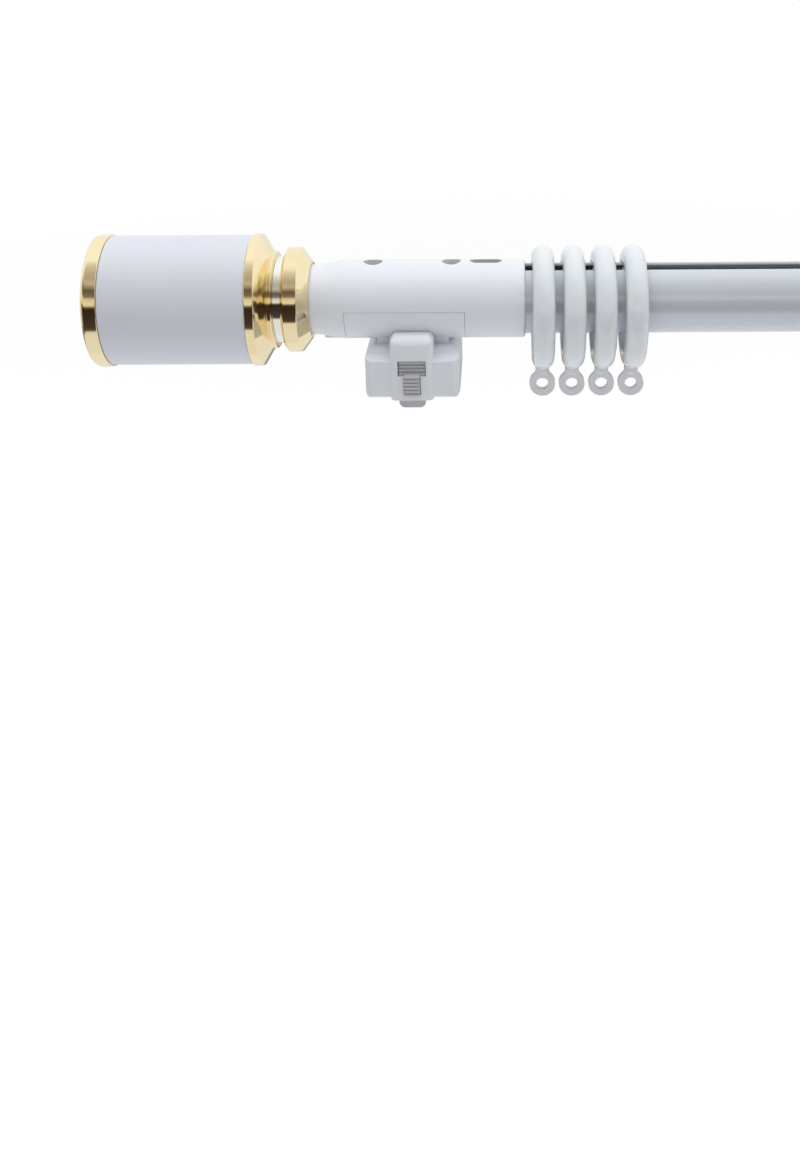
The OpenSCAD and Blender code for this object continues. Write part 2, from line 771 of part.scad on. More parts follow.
module pulley(bore) difference() {
    union() {
        bar_z(pulley_root, pulley_low, pulley_high);
        bar_z(flange_r, pulley_low, pulley_low + flange_t);
        bar_z(flange_r, pulley_high - flange_t, pulley_high);
        translate([0, 0, pulley_low]) linear_extrude(pulley_high - pulley_low) for (i = [0 : pulley_teeth - 1])
            rotate(i * 360 / pulley_teeth) polygon([
                [pulley_root - cog_sink, -cog_root / 2], [pulley_tip, -cog_tip / 2],
                [pulley_tip, cog_tip / 2], [pulley_root - cog_sink, cog_root / 2]
            ]);
    }
    bar_z(bore, pulley_low - overcut, pulley_high + overcut);
}

module drive_pulley() color("silver") at_axis() pulley(pulley_bore + shaft_gap);

// Bearing plate under the drive shaft, seen through the slots of the bayonet seat
module lower_bearing() color("saddlebrown") at_axis() difference() {
    union() {
        bar_z(bush_r, -axis_h + shaft_bore_len + seat_gap, spigot_z + bush_flange_t);
        bar_z(bush_flange_r, spigot_z, spigot_z + bush_flange_t);
    }
    bar_z(socket_r + shaft_gap, -axis_h, 0);
}

module upper_bearing() color("darkgoldenrod") at_axis() difference() {
    bar_z(upper_bush_r, chamber_high - upper_bush_lip, chamber_high + upper_bush_h);
    bar_z(journal_r + shaft_gap, pulley_high, chamber_high + upper_bush_h + overcut);
}

function ring_x(i) = housing_front + ring_gap + ring_w / 2 + (i - 1) * ring_pitch;

// Ring with a flat bore and a half-round outside
module ring_section() {
    crown = ring_in + ring_t - ring_w / 2;
    translate([ring_in + inner_round, -ring_w / 2]) square([crown - ring_in - inner_round, ring_w]);
    translate([ring_in, -ring_w / 2 + inner_round]) square([crown - ring_in, ring_w - 2 * inner_round]);
    for (side = [-1, 1]) translate([ring_in + inner_round, side * (ring_w / 2 - inner_round)])
        circle(r = inner_round);
    intersection() {
        translate([crown, 0]) circle(d = ring_w);
        translate([crown, -ring_w / 2]) square(ring_w);
    }
}

module ring(i) color("white") at_axis() translate([ring_x(i), 0, 0]) difference() {
    translate([0, 0, ring_z]) rotate([0, 90, 0]) rotate_extrude($fn = 96) ring_section();
    box(
        [-tongue_x - seat_gap, -tongue_y - seat_gap, 0],
        [tongue_x + seat_gap, tongue_y + seat_gap, tongue_top + seat_gap]
    );
    bar_z(stem_r + shaft_gap, ring_low - overcut, ring_z);
    bar_z(stem_head_r + run_gap, stem_seat_z, ring_z);
}

// Runner that ties a ring to the rod's top slot
module runner(i) color("lightgray") at_axis() translate([ring_x(i), 0, 0]) {
    translate([0, 0, foot_low]) linear_extrude(foot_high - foot_low)
        round_rect(-foot_x, foot_x, -foot_y, foot_y, foot_round, foot_round);
    box([-neck_half_x, -neck_half_y, foot_high - overcut], [neck_half_x, neck_half_y, neck_top]);
    box([-tongue_x, -tongue_y, neck_top - overcut], [tongue_x, tongue_y, tongue_top]);
}

// Web with hollow sides between a hook eye and its neck
module eye_web() difference() {
    polygon([[0, 0], [web_x, web_z], [-web_x, web_z]]);
    for (side = [-1, 1]) translate([side * web_x, web_z]) circle(r = eye_soft);
}

// Hook eye that swivels under a ring
module eye(i) color("gainsboro") at_axis() translate([ring_x(i), 0, 0]) difference() {
    union() {
        translate([0, eye_t / 2, eye_z]) rotate([90, 0, 0]) {
            cylinder(d = eye_d, h = eye_t);
            linear_extrude(eye_t) eye_web();
        }
        rotate_extrude() polygon([
            [0, collar_low - eye_collar_r + eye_t / 2], [eye_t / 2, collar_low - eye_collar_r + eye_t / 2],
            [eye_collar_r, collar_low], [eye_collar_r, ring_low - run_gap], [stem_r, ring_low - run_gap],
            [stem_r, stem_seat_z + run_gap], [stem_head_r, stem_seat_z + run_gap],
            [stem_head_r, stem_seat_z + run_gap + stem_head_t], [0, stem_seat_z + run_gap + stem_head_t]
        ]);
    }
    translate([0, eye_t / 2 + overcut, eye_z]) rotate([90, 0, 0]) cylinder(d = eye_bore, h = eye_t + 2 * overcut);
}

// Clamp by which the lead runner grips the front run of the belt
module belt_clamp() color("lightgray") at_axis() translate([ring_x(ring_count), 0, 0]) difference() {
    box([-clamp_x, -clamp_out, belt_lift - run_gap - clamp_wall], [clamp_x, -clamp_in, foot_low]);
    box(
        [-clamp_x - overcut, -belt_out - run_gap, belt_lift - run_gap],
        [clamp_x + overcut, -belt_in + tooth_h + run_gap, belt_top + run_gap]
    );
}

module idler_housing() color("whitesmoke") at_axis() far_end() difference() {
    housing_solid();
    housing_cuts();
    box([-chamber_reach, -chamber_y, chamber_low], [rod_start + overcut, chamber_y, chamber_high]);
    translate([0, 0, tension_z]) {
        bar_x(tension_r + seat_gap, spigot_in, -chamber_reach + overcut);
        bar_x(tension_head_r + seat_gap, spigot_in, -tension_end + tension_head_t);
    }
}

module idler_pulley() color("silver") at_axis() translate([idler_x, 0, 0]) pulley(axle_r + shaft_gap);

module idler_axle() color("silver") at_axis() translate([idler_x, 0, 0])
    bar_z(axle_r, chamber_low + axle_gap, chamber_high - axle_gap);

// Block that holds the idler axle and is drawn back by the tension screw
module idler_carrier() color("dimgray") at_axis() far_end() difference() {
    box([-carrier_back - carrier_wall, -carrier_y, chamber_low], [flange_r, carrier_y, chamber_high]);
    box(
        [-carrier_back, -chamber_y, pulley_low - run_gap],
        [flange_r + overcut, chamber_y, pulley_high + run_gap]
    );
    bar_z(axle_r + shaft_gap, chamber_low - overcut, chamber_high + overcut);
    translate([0, 0, tension_z])
        bar_x(tension_r + shaft_gap, -carrier_back - carrier_wall - overcut, -carrier_back + overcut);
}

module tension_screw() color("silver") at_axis() far_end() translate([0, 0, tension_z]) {
    bar_x(tension_r, -tension_end + tension_head_t - overcut, -carrier_back);
    bar_x(tension_head_r, -tension_end, -tension_end + tension_head_t);
}

// Finial pieces, modelled at the drive end
module finial_cap() difference() {
    turn_x(concat(
        [[0, cap_back]],
        [for (a = [0 : arc_step : 90]) [
            rim_r - cap_edge * (1 - sin(a)),
            cap_back + cap_edge * (1 - cos(a))
        ]],
        [[rim_r, barrel_back], [barrel_in - seat_gap, barrel_back],
         [barrel_in - seat_gap, barrel_back + locate_w],
         [barrel_in - locate_wall, barrel_back + locate_w], [barrel_in - locate_wall, barrel_back],
         [0, barrel_back]]
    ));
    bar_x(bolt_r + seat_gap, cap_back + cap_edge, barrel_back + overcut);
}

module finial_barrel() turn_x([
    [barrel_in, barrel_back], [barrel_d / 2, barrel_back], [barrel_d / 2, barrel_front], [barrel_in, barrel_front]
]);

module finial_flange() {
    cone_low = neck_d / 2 + flange_step;
    cone_high = rim_r - 2 * flange_bead;
    difference() {
        turn_x(concat(
            [[0, barrel_front], [barrel_in - locate_wall, barrel_front],
             [barrel_in - locate_wall, barrel_front - locate_w],
             [barrel_in - seat_gap, barrel_front - locate_w], [barrel_in - seat_gap, barrel_front],
             [rim_r, barrel_front]],
            [for (a = [0 : 3 * arc_step : 90]) [
                rim_r - flange_bead * (1 - cos(a)),
                cone_back - flange_bead * (1 - sin(a))
            ]],
            [for (a = [0 : arc_step : 90]) [
                cone_low + (cone_high - cone_low) * cos(a),
                cone_back + flange_cone * sin(a)
            ]],
            [[0, neck_back]]
        ));
        bar_x(bolt_r + seat_gap, barrel_front - overcut, neck_back + overcut);
    }
}

module finial_neck() difference() {
    bar_x(neck_d / 2, neck_back, collar_back);
    bar_x(bolt_r + seat_gap, neck_back - overcut, collar_back + overcut);
}

module finial_ring() difference() {
    turn_x(concat(
        [[0, collar_back], [collar_r - collar_edge - collar_step, collar_back]],
        [for (a = [0 : arc_step : 90]) [
            collar_r - collar_edge * (1 - sin(a)),
            collar_back + collar_edge * (1 - cos(a))
        ]],
        [for (a = [0 : arc_step : 90]) [
            collar_r - (collar_r - housing_end_r - collar_lip) * (1 - cos(a)),
            collar_front - collar_slope * (1 - sin(a))
        ]],
        [[0, collar_front]]
    ));
    bar_x(housing_end_r + seat_gap, collar_seat, collar_front + overcut);
    bar_x(spigot_r + seat_gap, collar_back + spigot_floor, collar_seat + overcut);
    bar_x(bolt_r + seat_gap, collar_back - overcut, collar_back + spigot_floor + overcut);
}

module finial_spigot() difference() {
    bar_x(spigot_r, collar_back + spigot_floor, spigot_in - run_gap);
    bar_x(bolt_r + shaft_gap, collar_back, spigot_in - bolt_stop);
}

module finial_bolt() {
    bar_x(bolt_r, barrel_back - cap_thread, spigot_in - bolt_stop);
    bar_x(bolt_head_r, barrel_back, barrel_back + bolt_head_t);
}

module finial_set_screw() translate([set_screw_x, 0, 0])
    bar_z(set_screw_r, pad_z + set_screw_sink, -spigot_r);

rod();
belt();
drive_housing();
coupling_housing();
coupling_plate();
bayonet_ring();
plate_screws();
housing_screws();
latch();
latch_spring();
drive_shaft();
drive_pulley();
lower_bearing();
upper_bearing();
for (i = [1 : ring_count]) {
    ring(i);
    eye(i);
    runner(i);
}
belt_clamp();
idler_housing();
idler_pulley();
idler_axle();
idler_carrier();
tension_screw();
color("gold") at_axis() finial_cap();
color("white") at_axis() finial_barrel();
color("gold") at_axis() finial_flange();
color("silver") at_axis() finial_neck();
color("gold") at_axis() finial_ring();
color("silver") at_axis() finial_spigot();
color("silver") at_axis() finial_bolt();
color("silver") at_axis() finial_set_screw();
color("gold") at_axis() far_end() finial_cap();  // far_finial_cap
color("white") at_axis() far_end() finial_barrel();  // far_finial_barrel
color("gold") at_axis() far_end() finial_flange();  // far_finial_flange
color("silver") at_axis() far_end() finial_neck();  // far_finial_neck
color("gold") at_axis() far_end() finial_ring();  // far_finial_ring
color("silver") at_axis() far_end() finial_spigot();  // far_finial_spigot
color("silver") at_axis() far_end() finial_bolt();  // far_finial_bolt
color("silver") at_axis() far_end() finial_set_screw();  // far_finial_set_screw
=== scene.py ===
import json
import math

import bmesh
import bpy
from mathutils import Matrix, Vector


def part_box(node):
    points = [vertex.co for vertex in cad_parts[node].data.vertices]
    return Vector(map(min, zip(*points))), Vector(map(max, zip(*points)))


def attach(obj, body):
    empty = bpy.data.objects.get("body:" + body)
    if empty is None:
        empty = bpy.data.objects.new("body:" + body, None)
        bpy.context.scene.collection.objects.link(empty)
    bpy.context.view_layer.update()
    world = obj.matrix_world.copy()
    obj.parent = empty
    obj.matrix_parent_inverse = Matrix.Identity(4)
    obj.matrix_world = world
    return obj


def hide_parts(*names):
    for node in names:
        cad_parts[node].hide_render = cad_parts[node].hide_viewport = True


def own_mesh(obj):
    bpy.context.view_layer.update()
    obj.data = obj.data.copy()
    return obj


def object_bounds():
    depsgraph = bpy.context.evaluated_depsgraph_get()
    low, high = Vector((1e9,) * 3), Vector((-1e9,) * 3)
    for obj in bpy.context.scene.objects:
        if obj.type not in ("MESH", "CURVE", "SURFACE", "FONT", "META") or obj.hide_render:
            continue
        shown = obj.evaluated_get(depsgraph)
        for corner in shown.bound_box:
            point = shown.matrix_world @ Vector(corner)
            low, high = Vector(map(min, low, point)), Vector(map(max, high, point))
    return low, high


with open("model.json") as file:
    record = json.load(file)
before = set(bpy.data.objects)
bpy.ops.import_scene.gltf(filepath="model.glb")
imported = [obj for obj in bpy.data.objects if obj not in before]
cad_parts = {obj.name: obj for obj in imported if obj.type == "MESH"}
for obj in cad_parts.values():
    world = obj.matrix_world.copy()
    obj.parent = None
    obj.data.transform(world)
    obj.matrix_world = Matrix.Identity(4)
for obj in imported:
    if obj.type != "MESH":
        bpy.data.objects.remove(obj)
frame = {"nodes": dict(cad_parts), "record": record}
nodes = frame["nodes"]
cad_box = [list(v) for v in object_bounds()]
scene = bpy.context.scene
scene.view_settings.view_transform = "Standard"

# Height of the rod axis above the origin, in metres
AXIS_Z = (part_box("rod")[0].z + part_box("rod")[1].z) / 2


# Materials. Coordinates are the object's own, in metres, so a scale of 1000 gives marks of about a millimetre.
class Paint:
    """A node material with a few short-hands."""

    def __init__(self, name, **sockets):
        self.material = bpy.data.materials.new(name)
        self.material.use_nodes = True
        self.tree = self.material.node_tree
        self.shader = self.tree.nodes["Principled BSDF"]
        self.coords = self.tree.nodes.new("ShaderNodeTexCoord").outputs["Object"]
        self.height = None
        for socket, value in sockets.items():
            self.shader.inputs[socket.replace("_", " ")].default_value = value

    def node(self, kind, links=None, **settings):
        made = self.tree.nodes.new(kind)
        for key, value in settings.items():
            setattr(made, key, value)
        for socket, source in (links or {}).items():
            if isinstance(source, bpy.types.NodeSocket):
                self.tree.links.new(source, made.inputs[socket])
            else:
                made.inputs[socket].default_value = source
        return made

    def noise(self, scale, detail=2.0, stretch=(1, 1, 1), rough=0.5):
        place = self.node("ShaderNodeMapping", {"Vector": self.coords, "Scale": stretch})
        links = {"Vector": place.outputs[0], "Scale": scale, "Detail": detail, "Roughness": rough}
        return self.node("ShaderNodeTexNoise", links).outputs["Fac"]

    def span(self, source, low, high, start=0.3, end=0.7):
        links = {"Value": source, "From Min": start, "From Max": end, "To Min": low, "To Max": high}
        return self.node("ShaderNodeMapRange", links).outputs["Result"]

    def mix(self, share, first, second):
        made = self.node("ShaderNodeMix", data_type="RGBA")
        self.tree.links.new(share, made.inputs["Factor"])
        for socket, value in ((made.inputs[6], first), (made.inputs[7], second)):
            if isinstance(value, bpy.types.NodeSocket):
                self.tree.links.new(value, socket)
            else:
                socket.default_value = (*value, 1)
        return made.outputs[2]

    def colour(self, source):
        self.tree.links.new(source, self.shader.inputs["Base Color"])

    def rough(self, source):
        self.tree.links.new(source, self.shader.inputs["Roughness"])

    def bump(self, source, depth, strength=1.0):
        links = {"Height": source, "Distance": depth, "Strength": strength}
        made = self.node("ShaderNodeBump", links)
        if self.height:
            self.tree.links.new(self.height, made.inputs["Normal"])
        self.height = made.outputs["Normal"]
        self.tree.links.new(self.height, self.shader.inputs["Normal"])


def plastic(name, low, high, rough, grain=0.00001, **sockets):
    """Moulded plastic: faint flow clouds, uneven gloss and the fine grain of the mould."""
    p = Paint(name, **sockets)
    clouds = p.noise(38, 3)
    p.colour(p.mix(p.span(clouds, 0, 1), low, high))
    p.rough(p.span(p.noise(260, 4), rough - 0.03, rough + 0.03))
    p.bump(p.noise(2600, 2), grain, 0.35)
    p.bump(p.noise(90, 2), grain * 4, 0.12)
    return p.material


def metal(name, low, high, rough, scratch=(1, 60, 60), **sockets):
    """Plated or turned metal: a slow change of tint, and fine scratches across the roughness."""
    p = Paint(name, Metallic=1.0, **sockets)
    p.colour(p.mix(p.span(p.noise(55, 3), 0, 1), low, high))
    marks = p.noise(420, 5, scratch, 0.65)
    p.rough(p.span(marks, rough * 0.75, rough * 1.35))
    p.bump(marks, 0.000004, 0.12)
    return p.material


# Distance from the rod axis within which only primer shows, and beyond which the paint covers it
PRIMER_R, PAINT_R = 0.0149, 0.0152


def rod_paint():
    """Gloss paint on an extrusion, with draw lines along X; the inside keeps the pale green of its primer."""
    p = Paint("rod_paint", IOR=1.5, Metallic=0.18, Coat_Weight=0.3, Coat_Roughness=0.06)
    axis = p.node("ShaderNodeVectorMath", {0: p.coords, 1: (0, 0, AXIS_Z)}, operation="SUBTRACT")
    flat = p.node("ShaderNodeVectorMath", {0: axis.outputs[0], 1: (0, 1, 1)}, operation="MULTIPLY")
    radius = p.node("ShaderNodeVectorMath", {0: flat.outputs[0]}, operation="LENGTH").outputs["Value"]
    outside = p.span(radius, 0, 1, PRIMER_R, PAINT_R)
    shell = p.mix(p.span(p.noise(30, 3, (0.2, 1, 1)), 0, 1), (0.635, 0.67, 0.73), (0.665, 0.70, 0.76))
    core = p.mix(p.span(p.noise(60, 3, (0.1, 1, 1)), 0, 1), (0.60, 0.67, 0.62), (0.66, 0.73, 0.68))
    p.colour(p.mix(outside, core, shell))
    p.rough(p.span(p.noise(22, 2, (0.1, 1, 1)), 0.25, 0.28))
    p.bump(p.noise(700, 3, (0.012, 1, 1)), 0.000003, 0.05)
    return p.material


def ring_lacquer():
    """Gloss lacquer with a slight orange peel."""
    p = Paint("ring_white", IOR=1.5, Coat_Weight=0.7, Coat_Roughness=0.05)
    p.colour(p.mix(p.span(p.noise(45, 3), 0, 1), (0.785, 0.825, 0.855), (0.815, 0.855, 0.885)))
    p.rough(p.span(p.noise(35, 2), 0.20, 0.24))
    p.bump(p.noise(300, 2), 0.000006, 0.04)
    return p.material


def barrel_paint():
    """Satin powder paint: a fine even texture and hardly any gloss."""
    p = Paint("barrel_white", IOR=1.46)
    p.colour(p.mix(p.span(p.noise(26, 3), 0, 1), (0.70, 0.725, 0.785), (0.725, 0.75, 0.81)))
    p.rough(p.span(p.noise(60, 3), 0.35, 0.41))
    p.bump(p.noise(3200, 2), 0.000012, 0.3)
    return p.material


def belt_rubber():
    """Black rubber with a dusty fabric facing."""
    p = Paint("belt_rubber", IOR=1.5)
    weave = p.noise(2200, 3, (1, 0.4, 2.5))
    p.colour(p.mix(p.span(weave, 0, 1), (0.016, 0.017, 0.019), (0.045, 0.046, 0.05)))
    p.rough(p.span(p.noise(700, 3), 0.6, 0.85))
    p.bump(weave, 0.00005, 0.5)
    return p.material


white = ((0.80, 0.825, 0.87), (0.825, 0.85, 0.895))
materials = {
    "rod_paint": rod_paint(),
    "belt_rubber": belt_rubber(),
    "white_plastic": plastic("white_plastic", *white, 0.36, IOR=1.5),
    "nickel": metal("nickel", (0.66, 0.63, 0.57), (0.76, 0.73, 0.67), 0.24),
    "latch_grey": plastic("latch_grey", (0.55, 0.55, 0.58), (0.59, 0.59, 0.62), 0.44, 0.00002, IOR=1.48),
    "steel": metal("steel", (0.47, 0.44, 0.36), (0.56, 0.53, 0.45), 0.3),
    "brown_resin": plastic("brown_resin", (0.10, 0.035, 0.022), (0.15, 0.055, 0.035), 0.5, IOR=1.5),
    "bronze": metal("bronze", (0.50, 0.33, 0.16), (0.60, 0.42, 0.22), 0.42),
    "runner_plastic": plastic("runner_plastic", (0.70, 0.71, 0.72), (0.75, 0.76, 0.77), 0.42, IOR=1.48),
    "ring_white": ring_lacquer(),
    "eye_grey": plastic("eye_grey", (0.79, 0.80, 0.825), (0.82, 0.83, 0.855), 0.46, 0.00002, IOR=1.48),
    "gold": metal("gold", (0.90, 0.755, 0.455), (0.94, 0.805, 0.51), 0.085, (40, 1, 1)),
    "barrel_white": barrel_paint(),
    "silver": metal("silver", (0.87, 0.85, 0.81), (0.92, 0.90, 0.87), 0.09, (40, 1, 1)),
}

# CAD nodes: the finish of their material slot, then soft edges of these widths in metres
PLAIN_EDGE = 0.0003
EDGES = {
    "belt": 0.0, "latch_spring": 0.0, "coupling_housing": 0.0004, "coupling_plate": 0.00015, "bayonet_ring": 0.00012,
    "drive_housing": 0.0004, "idler_housing": 0.0004, "plate_screws": 0.0002, "housing_screws": 0.0002,
}
EDGES.update({f"{end}finial_{piece}": 0.0005 for end in ("", "far_") for piece in ("barrel", "cap")})
EDGES.update({f"eye_{i}": 0.0012 for i in range(1, 5)})
EDGE_SEGMENTS = 3
EDGE_ANGLE = math.radians(32)
FLAT_ANGLE = math.radians(0.5)
WELD_DISTANCE = 0.000002
FACE_WEIGHT = 90


def even_shading(piece):
    """Lets the large faces set the normals."""
    even = piece.modifiers.new("even", "WEIGHTED_NORMAL")
    even.mode = "FACE_AREA"
    even.weight = FACE_WEIGHT
    even.keep_sharp = False


for part in frame["record"]["subparts"]:
    name, slot = part["node"], part["material_slot"]
    piece = nodes[name]
    piece.data.materials.clear()
    piece.data.materials.append(materials[slot])
    piece.data.polygons.foreach_set("use_smooth", [True] * len(piece.data.polygons))
    weld = piece.modifiers.new("weld", "WELD")
    weld.merge_threshold = WELD_DISTANCE
    if name.startswith("ring_"):
        continue  # round all over
    flats = piece.modifiers.new("flats", "DECIMATE")
    flats.decimate_type = "DISSOLVE"
    flats.angle_limit = FLAT_ANGLE
    width = EDGES.get(name, PLAIN_EDGE)
    if width:
        bevel = piece.modifiers.new("edges", "BEVEL")
        bevel.width = width
        bevel.segments = EDGE_SEGMENTS
        bevel.limit_method = "ANGLE"
        bevel.angle_limit = EDGE_ANGLE
        bevel.use_clamp_overlap = name != "coupling_plate"
    even_shading(piece)


def finished(name, maker, slot, body):
    """Makes a mesh piece that rides on a body."""
    mesh = bpy.data.meshes.new(name)
    bm = bmesh.new()
    maker(bm)
    bmesh.ops.recalc_face_normals(bm, faces=bm.faces)
    bm.to_mesh(mesh)
    bm.free()
    mesh.polygons.foreach_set("use_smooth", [True] * len(mesh.polygons))
    piece = bpy.data.objects.new(name, mesh)
    scene.collection.objects.link(piece)
    mesh.materials.append(materials[slot])
    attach(piece, body)
    return piece


# Latch spring: radius of the wire, turns, steps a turn, sides of the wire, and how its rise is shared out: one closed
# turn at each end of the even rise, and a small soft rise that starts sooner
WIRE_R = 0.00028
TURNS, TURN_STEPS, WIRE_SIDES = 8, 26, 8
CLOSED_TURN, SOFT_TURN = 1, 0.6
EVEN_SHARE, SOFT_SHARE = 0.88, 0.12


def share_of_rise(turn, closed):
    """0 on the closed turns at the low end, 1 on those at the high end, and straight between them."""
    return min(max((turn - closed) / (TURNS - 2 * closed), 0), 1)


def coil_spring(bm):
    """Compression spring with closed ends, in the place of the latch spring's sleeve."""
    low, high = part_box("latch_spring")
    radius = (high.x - low.x) / 2 - WIRE_R
    centre = (low + high) / 2
    rings = []
    for i in range(TURNS * TURN_STEPS + 1):
        turn = i / TURN_STEPS
        soft = 0.5 - 0.5 * math.cos(math.pi * share_of_rise(turn, SOFT_TURN))
        rise = SOFT_SHARE * soft + EVEN_SHARE * share_of_rise(turn, CLOSED_TURN)
        z = low.z + WIRE_R + (high.z - low.z - 2 * WIRE_R) * rise
        a = 2 * math.pi * turn
        out = Vector((math.cos(a), math.sin(a), 0))
        place = Vector((centre.x, centre.y, z)) + out * radius
        rings.append([
            bm.verts.new(place + (out * math.cos(b) + Vector((0, 0, 1)) * math.sin(b)) * WIRE_R)
            for b in (2 * math.pi * k / WIRE_SIDES for k in range(WIRE_SIDES))
        ])
    for first, second in zip(rings, rings[1:]):
        for k in range(WIRE_SIDES):
            after = (k + 1) % WIRE_SIDES
            bm.faces.new((first[k], first[after], second[after], second[k]))
    bm.faces.new(rings[0])
    bm.faces.new(rings[-1])


spring = finished("latch_coil", coil_spring, "nickel", "track")
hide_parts("latch_spring")
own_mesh(spring)


# The drawn rod: the solid's section with its slot lips rolled over
ROD_OUT, ROD_IN, ROD_WEB, SLOT_HALF, LIP_ROUND = 0.0175, 0.0157, 0.002, 0.0055, 0.0012
SIDE_STEPS, LIP_STEPS, BORE_STEPS = 26, 12, 18
SAME_POINT = 0.000001
SHARP_ANGLE = math.radians(35)


def arc(centre, radius, start, end, steps):
    angles = [math.radians(start + (end - start) * i / steps) for i in range(steps + 1)]
    return [(centre[0] + radius * math.cos(a), centre[1] + radius * math.sin(a)) for a in angles]


def rod_section():
    """Outline as (y, z) from the axis: a quarter from the side round the lip to the web, and its mirror images."""
    lip = (SLOT_HALF + LIP_ROUND, math.sqrt((ROD_OUT - LIP_ROUND) ** 2 - (SLOT_HALF + LIP_ROUND) ** 2))
    turn = math.degrees(math.atan2(lip[1], lip[0]))
    inner = math.degrees(math.acos(SLOT_HALF / ROD_IN))
    foot = math.degrees(math.asin(ROD_WEB / 2 / ROD_IN))
    quarter = arc((0, 0), ROD_OUT, 0, turn, SIDE_STEPS)[:-1] + arc(lip, LIP_ROUND, turn, 180, LIP_STEPS)
    quarter += arc((0, 0), ROD_IN, inner, foot, BORE_STEPS)
    outline = []
    for side, up, step in ((1, 1, 1), (-1, 1, -1), (-1, -1, 1), (1, -1, -1)):
        for y, z in quarter[::step]:
            point = (side * y, up * z)
            if not outline or math.dist(point, outline[-1]) > SAME_POINT:
                outline.append(point)
    return outline if math.dist(outline[0], outline[-1]) > SAME_POINT else outline[:-1]


def drawn_rod(bm):
    low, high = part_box("rod")
    section = rod_section()
    rows = [[bm.verts.new((x, y, AXIS_Z + z)) for y, z in section] for x in (low.x, high.x)]
    count = len(section)
    for k in range(count):
        after = (k + 1) % count
        bm.faces.new((rows[0][k], rows[0][after], rows[1][after], rows[1][k]))
    for row in rows:
        bm.faces.new(row)


rod = finished("rod_drawn", drawn_rod, "rod_paint", "track")
rod.data.set_sharp_from_angle(angle=SHARP_ANGLE)
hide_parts("rod")

# Turned gold parts of the finials: crisp chamfers in place of the solids' rounded ones. Profiles in millimetres from
# the node's end away from the housing, as (along, radius), round the section and back through the bore.
BOLT_BORE, SPIGOT_BORE, HOUSING_BORE = 3.1, 8.1, 17.4
BEAD_ALONG, BEAD_OUT = 14.5, 23.1
BEAD = [
    (BEAD_ALONG + math.cos(math.radians(a)), BEAD_OUT + math.sin(math.radians(a))) for a in range(160, -1, -20)
]
FLANGE = [
    (4.0, BOLT_BORE), (4.0, 32.0), (4.12, 32.36), (4.45, 32.5), (7.85, 32.5), (8.15, 32.4), (8.35, 32.15),
    (12.95, 24.25), (13.2, 23.9), *BEAD, (15.5, 22.3), (15.5, BOLT_BORE),
]
COLLAR = [
    (0, BOLT_BORE), (0, 22.6), (0.1, 23.2), (1.4, 25.35), (1.65, 25.6), (2.0, 25.7), (7.6, 25.7), (7.95, 25.6),
    (8.2, 25.3), (12.55, 19.35), (12.85, 19.05), (13.0, 18.8), (13.0, HOUSING_BORE), (10.6, HOUSING_BORE),
    (10.6, SPIGOT_BORE), (3.0, SPIGOT_BORE), (3.0, BOLT_BORE),
]
TURNED_SIDES = 180


def turned(node, profile, toward):
    """Closed turned piece round the rod axis that stands for a node; toward is the way to the housing along X."""
    low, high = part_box(node)
    start = low.x if toward > 0 else high.x

    def maker(bm):
        spokes = [2 * math.pi * k / TURNED_SIDES for k in range(TURNED_SIDES)]
        rows = []
        for along, out in profile:
            x, radius = start + toward * along / 1000, out / 1000
            rows.append([bm.verts.new((x, radius * math.cos(a), AXIS_Z + radius * math.sin(a))) for a in spokes])
        for first, second in zip(rows, rows[1:] + rows[:1]):
            for k in range(TURNED_SIDES):
                after = (k + 1) % TURNED_SIDES
                bm.faces.new((first[k], first[after], second[after], second[k]))

    piece = finished(node + "_turned", maker, "gold", "track")
    even_shading(piece)
    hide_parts(node)


for end, toward in (("", 1), ("far_", -1)):
    turned(end + "finial_flange", FLANGE, toward)
    turned(end + "finial_ring", COLLAR, toward)

# Stage: a pale floor well below the track, a soft sky, and a card that only gloss shows. The floor's own glow keeps the
# shade of the track's underside soft; what the camera and gloss see of it is lifted to white, more so far away.
FLOOR_AT, FLOOR_HALF = (0.1, 0, -0.46), 9
FLOOR_GREY, FLOOR_GLOW = 0.62, 0.36
FADE = {"From Min": 0.6, "From Max": 3.0, "To Min": 0.24, "To Max": 0.54}
SKY_TINT, SKY_LEVEL = (0.975, 0.985, 1.0), 0.19


def stage_material(name):
    made = bpy.data.materials.new(name)
    made.use_nodes = True
    made.node_tree.nodes.clear()
    return made, made.node_tree


def backdrop_rays(tree):
    """1 for camera, glossy and transmission rays, which show the white background."""
    path = tree.nodes.new("ShaderNodeLightPath")
    total = path.outputs["Is Camera Ray"]
    for ray in ("Is Glossy Ray", "Is Transmission Ray"):
        add = tree.nodes.new("ShaderNodeMath")
        add.operation = "MAXIMUM"
        tree.links.new(total, add.inputs[0])
        tree.links.new(path.outputs[ray], add.inputs[1])
        total = add.outputs[0]
    return total


floor_paint, tree = stage_material("floor_paint")
diffuse = tree.nodes.new("ShaderNodeBsdfDiffuse")
diffuse.inputs["Color"].default_value = (FLOOR_GREY, FLOOR_GREY, FLOOR_GREY, 1)
table = tree.nodes.new("ShaderNodeEmission")
table.inputs["Strength"].default_value = FLOOR_GLOW
place = tree.nodes.new("ShaderNodeTexCoord")
away = tree.nodes.new("ShaderNodeVectorMath")
away.operation = "LENGTH"
tree.links.new(place.outputs["Object"], away.inputs[0])
fade = tree.nodes.new("ShaderNodeMapRange")
for socket, value in FADE.items():
    fade.inputs[socket].default_value = value
tree.links.new(away.outputs["Value"], fade.inputs["Value"])
scale = tree.nodes.new("ShaderNodeMath")
scale.operation = "MULTIPLY"
tree.links.new(backdrop_rays(tree), scale.inputs[0])
tree.links.new(fade.outputs["Result"], scale.inputs[1])
